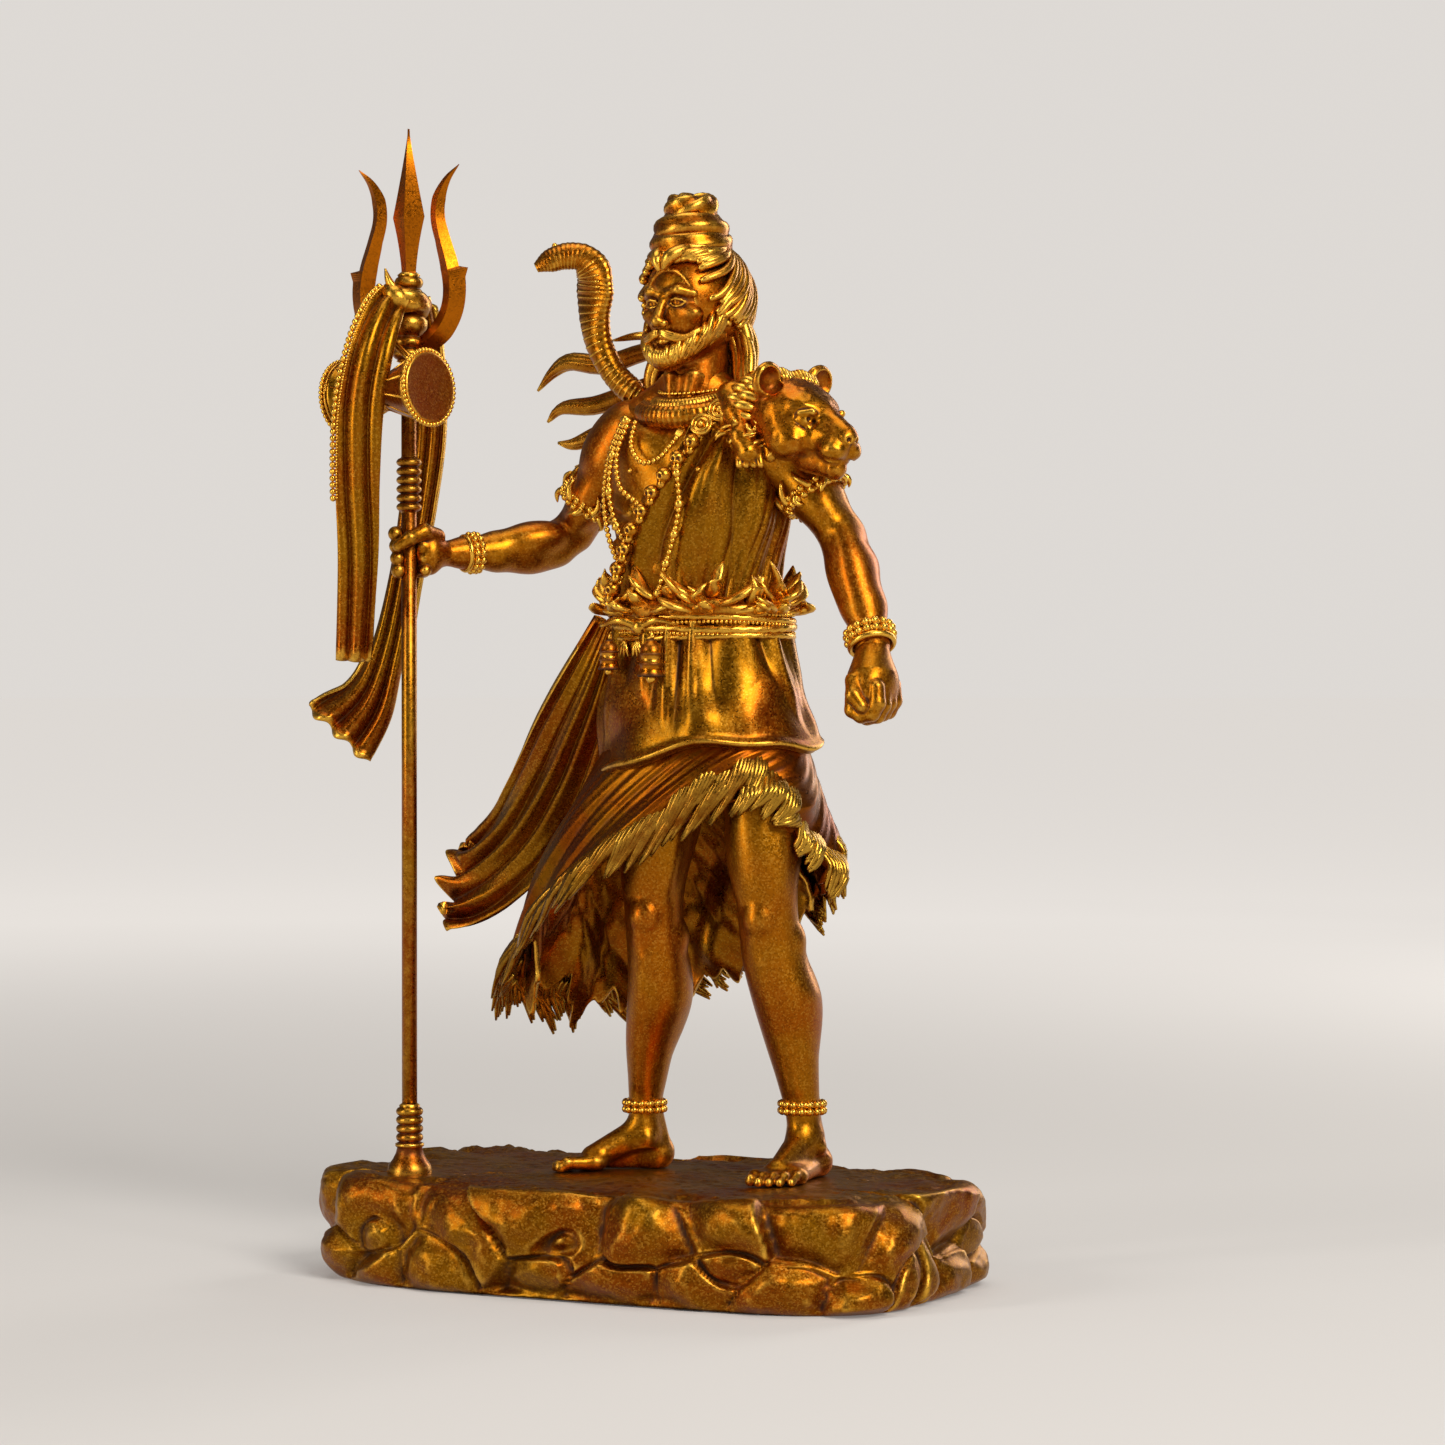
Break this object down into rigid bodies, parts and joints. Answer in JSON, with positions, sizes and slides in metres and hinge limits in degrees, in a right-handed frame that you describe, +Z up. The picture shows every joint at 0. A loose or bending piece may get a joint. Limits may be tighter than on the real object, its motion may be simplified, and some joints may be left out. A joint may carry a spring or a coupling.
{
  "type": "trident figurine",
  "caption": "Brass-finish figurine of a bearded ascetic with a lift-out trident, hourglass drum, cobra and leopard pelt, standing on an oblong rock base.",
  "frame": {"origin": "centre of the base's flat underside", "axes": "+Z up along the figure, +X along the base's long side to the figure's left hand, -Y the way the figure faces"},
  "size_m": [0.07, 0.04, 0.12],
  "materials": {
    "rock_bronze": "cast rock, burnished on its edges, dark in its creases",
    "skin_bronze": "satin with a fine metallic sparkle",
    "cloth_bronze": "satin cast folds",
    "hair_bronze": "satin cast strands with dark creases",
    "bead_gold": "bright rubbed beads",
    "trident_gold": "satin"
  },
  "bodies": {
    "figure": {"rock_base": "rock_bronze", "trident_foot": "trident_gold", "right_leg": "skin_bronze", "left_leg": "skin_bronze", "pelvis": "skin_bronze", "torso": "skin_bronze", "head": "skin_bronze", "beard": "hair_bronze", "hair_cap": "hair_bronze", "hair_bun": "hair_bronze", "bun_top": "hair_bronze", "back_locks": "hair_bronze", "wind_locks": "hair_bronze", "right_arm": "skin_bronze", "left_arm": "skin_bronze", "right_hand": "skin_bronze", "left_hand": "skin_bronze", "cobra_coil": "hair_bronze", "cobra_hood": "hair_bronze", "bead_strands": "bead_gold", "skull_garland": "bead_gold", "leopard_head": "hair_bronze", "leopard_paw": "hair_bronze", "chest_drape": "cloth_bronze", "waist_fur": "hair_bronze", "belt_cords": "bead_gold", "waist_bells": "bead_gold", "kilt_apron": "cloth_bronze", "pelt_skirt": "cloth_bronze", "skirt_fringe": "hair_bronze", "side_sash": "cloth_bronze", "back_cloth": "cloth_bronze", "right_armlet": "bead_gold", "left_armlet": "bead_gold", "right_bracelets": "bead_gold", "left_bracelets": "bead_gold", "right_anklets": "bead_gold", "left_anklets": "bead_gold"},
    "trident": {"trident_shaft": "trident_gold", "shaft_rings": "trident_gold", "trident_collar": "trident_gold", "centre_blade": "trident_gold", "left_prong": "trident_gold", "right_prong": "trident_gold", "scarf_knot": "cloth_bronze", "scarf_front": "cloth_bronze", "scarf_back": "cloth_bronze", "scarf_beads": "bead_gold", "drum_body": "trident_gold", "near_drumhead": "trident_gold", "far_drumhead": "trident_gold", "drum_rims": "bead_gold", "drum_tie": "bead_gold"}
  },
  "joints": [
    {"name": "trident_lift", "type": "slide", "parent": "figure", "child": "trident", "axis": [0, 0, 1], "range_m": [0, 0.064]}
  ]
}
